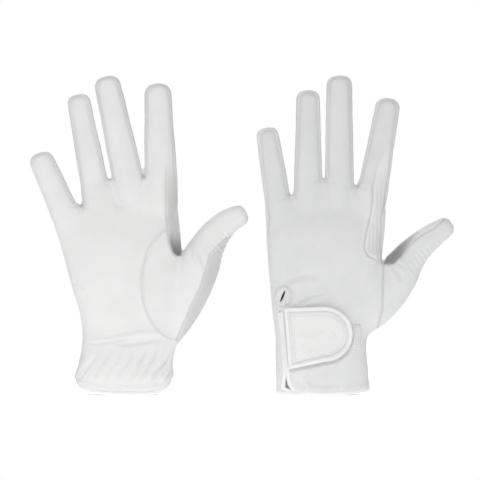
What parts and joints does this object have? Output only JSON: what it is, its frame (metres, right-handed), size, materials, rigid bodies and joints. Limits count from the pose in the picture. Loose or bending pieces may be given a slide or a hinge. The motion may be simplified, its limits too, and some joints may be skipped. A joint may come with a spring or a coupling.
{
  "type": "riding gloves",
  "caption": "Pair of white five-finger riding gloves with a wrist slit closed by a rounded hook-and-loop tab, shown filled and standing on their cuffs.",
  "frame": {"origin": "centre of the pair's bounding box in X and Y, at the flat lower edge of both cuffs", "axes": "+Z from the cuffs to the fingertips, +X from the right-hand glove to the left-hand glove, -Y the front, which shows the right-hand palm and the back of the left hand"},
  "size_m": [0.3135, 0.0391, 0.2352],
  "materials": {
    "white_leather": "fine-grained, smooth, semi-matte",
    "white_fabric": "soft stretch microfibre, matte",
    "white_binding": "smooth edge binding",
    "white_elastic": "ribbed elastic",
    "hook_and_loop": "hook-and-loop tape",
    "label_satin": "satin, blank"
  },
  "bodies": {
    "right_glove": {"right_palm_panel": "white_leather", "right_back_panel": "white_fabric", "right_fourchette_little_ring": "white_fabric", "right_fourchette_ring_middle": "white_fabric", "right_fourchette_middle_index": "white_fabric", "right_index_side_strip": "white_leather", "right_thenar_panel": "white_leather", "right_thumb_back_panel": "white_fabric", "right_little_knuckle_sleeve": "white_leather", "right_ring_knuckle_sleeve": "white_leather", "right_middle_knuckle_sleeve": "white_leather", "right_index_knuckle_sleeve": "white_leather", "right_thumb_joint_sleeve": "white_leather", "right_cuff_hem": "white_binding", "right_slit_binding": "white_binding", "right_slit_eyelet": "white_binding", "right_stretch_insert": "white_elastic", "right_loop_patch": "hook_and_loop", "right_wrist_elastic": "white_elastic", "right_care_label": "label_satin"},
    "right_little_end": {"right_little_finger_end": "white_leather"},
    "right_ring_end": {"right_ring_finger_end": "white_leather"},
    "right_middle_end": {"right_middle_finger_end": "white_leather"},
    "right_index_end": {"right_index_finger_end": "white_leather"},
    "right_thumb_tip": {"right_thumb_end": "white_leather"},
    "right_closure_tab": {"right_tab_strap": "white_leather", "right_tab_lining": "white_fabric", "right_tab_edge_binding": "white_binding", "right_hook_patch": "hook_and_loop"},
    "left_glove": {"left_palm_panel": "white_leather", "left_back_panel": "white_fabric", "left_fourchette_little_ring": "white_fabric", "left_fourchette_ring_middle": "white_fabric", "left_fourchette_middle_index": "white_fabric", "left_index_side_strip": "white_leather", "left_thenar_panel": "white_leather", "left_thumb_back_panel": "white_fabric", "left_little_knuckle_sleeve": "white_leather", "left_ring_knuckle_sleeve": "white_leather", "left_middle_knuckle_sleeve": "white_leather", "left_index_knuckle_sleeve": "white_leather", "left_thumb_joint_sleeve": "white_leather", "left_cuff_hem": "white_binding", "left_slit_binding": "white_binding", "left_slit_eyelet": "white_binding", "left_stretch_insert": "white_elastic", "left_loop_patch": "hook_and_loop", "left_wrist_elastic": "white_elastic", "left_care_label": "label_satin"},
    "left_little_end": {"left_little_finger_end": "white_leather"},
    "left_ring_end": {"left_ring_finger_end": "white_leather"},
    "left_middle_end": {"left_middle_finger_end": "white_leather"},
    "left_index_end": {"left_index_finger_end": "white_leather"},
    "left_thumb_tip": {"left_thumb_end": "white_leather"},
    "left_closure_tab": {"left_tab_strap": "white_leather", "left_tab_lining": "white_fabric", "left_tab_edge_binding": "white_binding", "left_hook_patch": "hook_and_loop"}
  },
  "joints": [
    {"name": "left_glove_lift", "type": "slide", "parent": "right_glove", "child": "left_glove", "axis": [0, 0, 1], "range_m": [0, 0.1]},
    {"name": "right_little_knuckle", "type": "hinge", "parent": "right_glove", "child": "right_little_end", "pos_m": [-0.13703, -0.00059, 0.14822], "axis": [0.9143, 0, 0.4051], "range_deg": [0, 90], "deforming": ["right_little_knuckle_sleeve"]},
    {"name": "right_ring_knuckle", "type": "hinge", "parent": "right_glove", "child": "right_ring_end", "pos_m": [-0.11197, -0.0009, 0.17226], "axis": [0.9826, 0, 0.1857], "range_deg": [0, 90], "deforming": ["right_ring_knuckle_sleeve"]},
    {"name": "right_middle_knuckle", "type": "hinge", "parent": "right_glove", "child": "right_middle_end", "pos_m": [-0.08909, -0.00096, 0.18279], "axis": [0.9774, 0, 0.2113], "range_deg": [0, 90], "deforming": ["right_middle_knuckle_sleeve"]},
    {"name": "right_index_knuckle", "type": "hinge", "parent": "right_glove", "child": "right_index_end", "pos_m": [-0.06036, -0.00086, 0.1816], "axis": [0.9994, 0, 0.0349], "range_deg": [0, 90], "deforming": ["right_index_knuckle_sleeve"]},
    {"name": "right_thumb_joint", "type": "hinge", "parent": "right_glove", "child": "right_thumb_tip", "pos_m": [-0.018, 0, 0.1196], "axis": [0, -1, 0], "range_deg": [0, 60], "deforming": ["right_thumb_joint_sleeve"]},
    {"name": "right_tab_hinge", "type": "hinge", "parent": "right_glove", "child": "right_closure_tab", "pos_m": [-0.1093, 0.01559, 0.04095], "axis": [-0.0843, -0.0382, 0.9957], "range_deg": [0, 150]},
    {"name": "left_little_knuckle", "type": "hinge", "parent": "left_glove", "child": "left_little_end", "pos_m": [0.02451, 0.00071, 0.15812], "axis": [-0.9877, 0, -0.1564], "range_deg": [0, 90], "deforming": ["left_little_knuckle_sleeve"]},
    {"name": "left_ring_knuckle", "type": "hinge", "parent": "left_glove", "child": "left_ring_end", "pos_m": [0.0494, 0.00096, 0.17147], "axis": [-1, 0, 0], "range_deg": [0, 90], "deforming": ["left_ring_knuckle_sleeve"]},
    {"name": "left_middle_knuckle", "type": "hinge", "parent": "left_glove", "child": "left_middle_end", "pos_m": [0.0724, 0.00102, 0.1791], "axis": [-1, 0, 0], "range_deg": [0, 90], "deforming": ["left_middle_knuckle_sleeve"]},
    {"name": "left_index_knuckle", "type": "hinge", "parent": "left_glove", "child": "left_index_end", "pos_m": [0.10129, 0.00082, 0.17367], "axis": [-0.9848, 0, 0.1736], "range_deg": [0, 90], "deforming": ["left_index_knuckle_sleeve"]},
    {"name": "left_thumb_joint", "type": "hinge", "parent": "left_glove", "child": "left_thumb_tip", "pos_m": [0.1322, 0, 0.1096], "axis": [0, -1, 0], "range_deg": [0, 60], "deforming": ["left_thumb_joint_sleeve"]},
    {"name": "left_tab_hinge", "type": "hinge", "parent": "left_glove", "child": "left_closure_tab", "pos_m": [0.0331, -0.01492, 0.04095], "axis": [0.0843, -0.0323, -0.9959], "range_deg": [0, 150]}
  ]
}
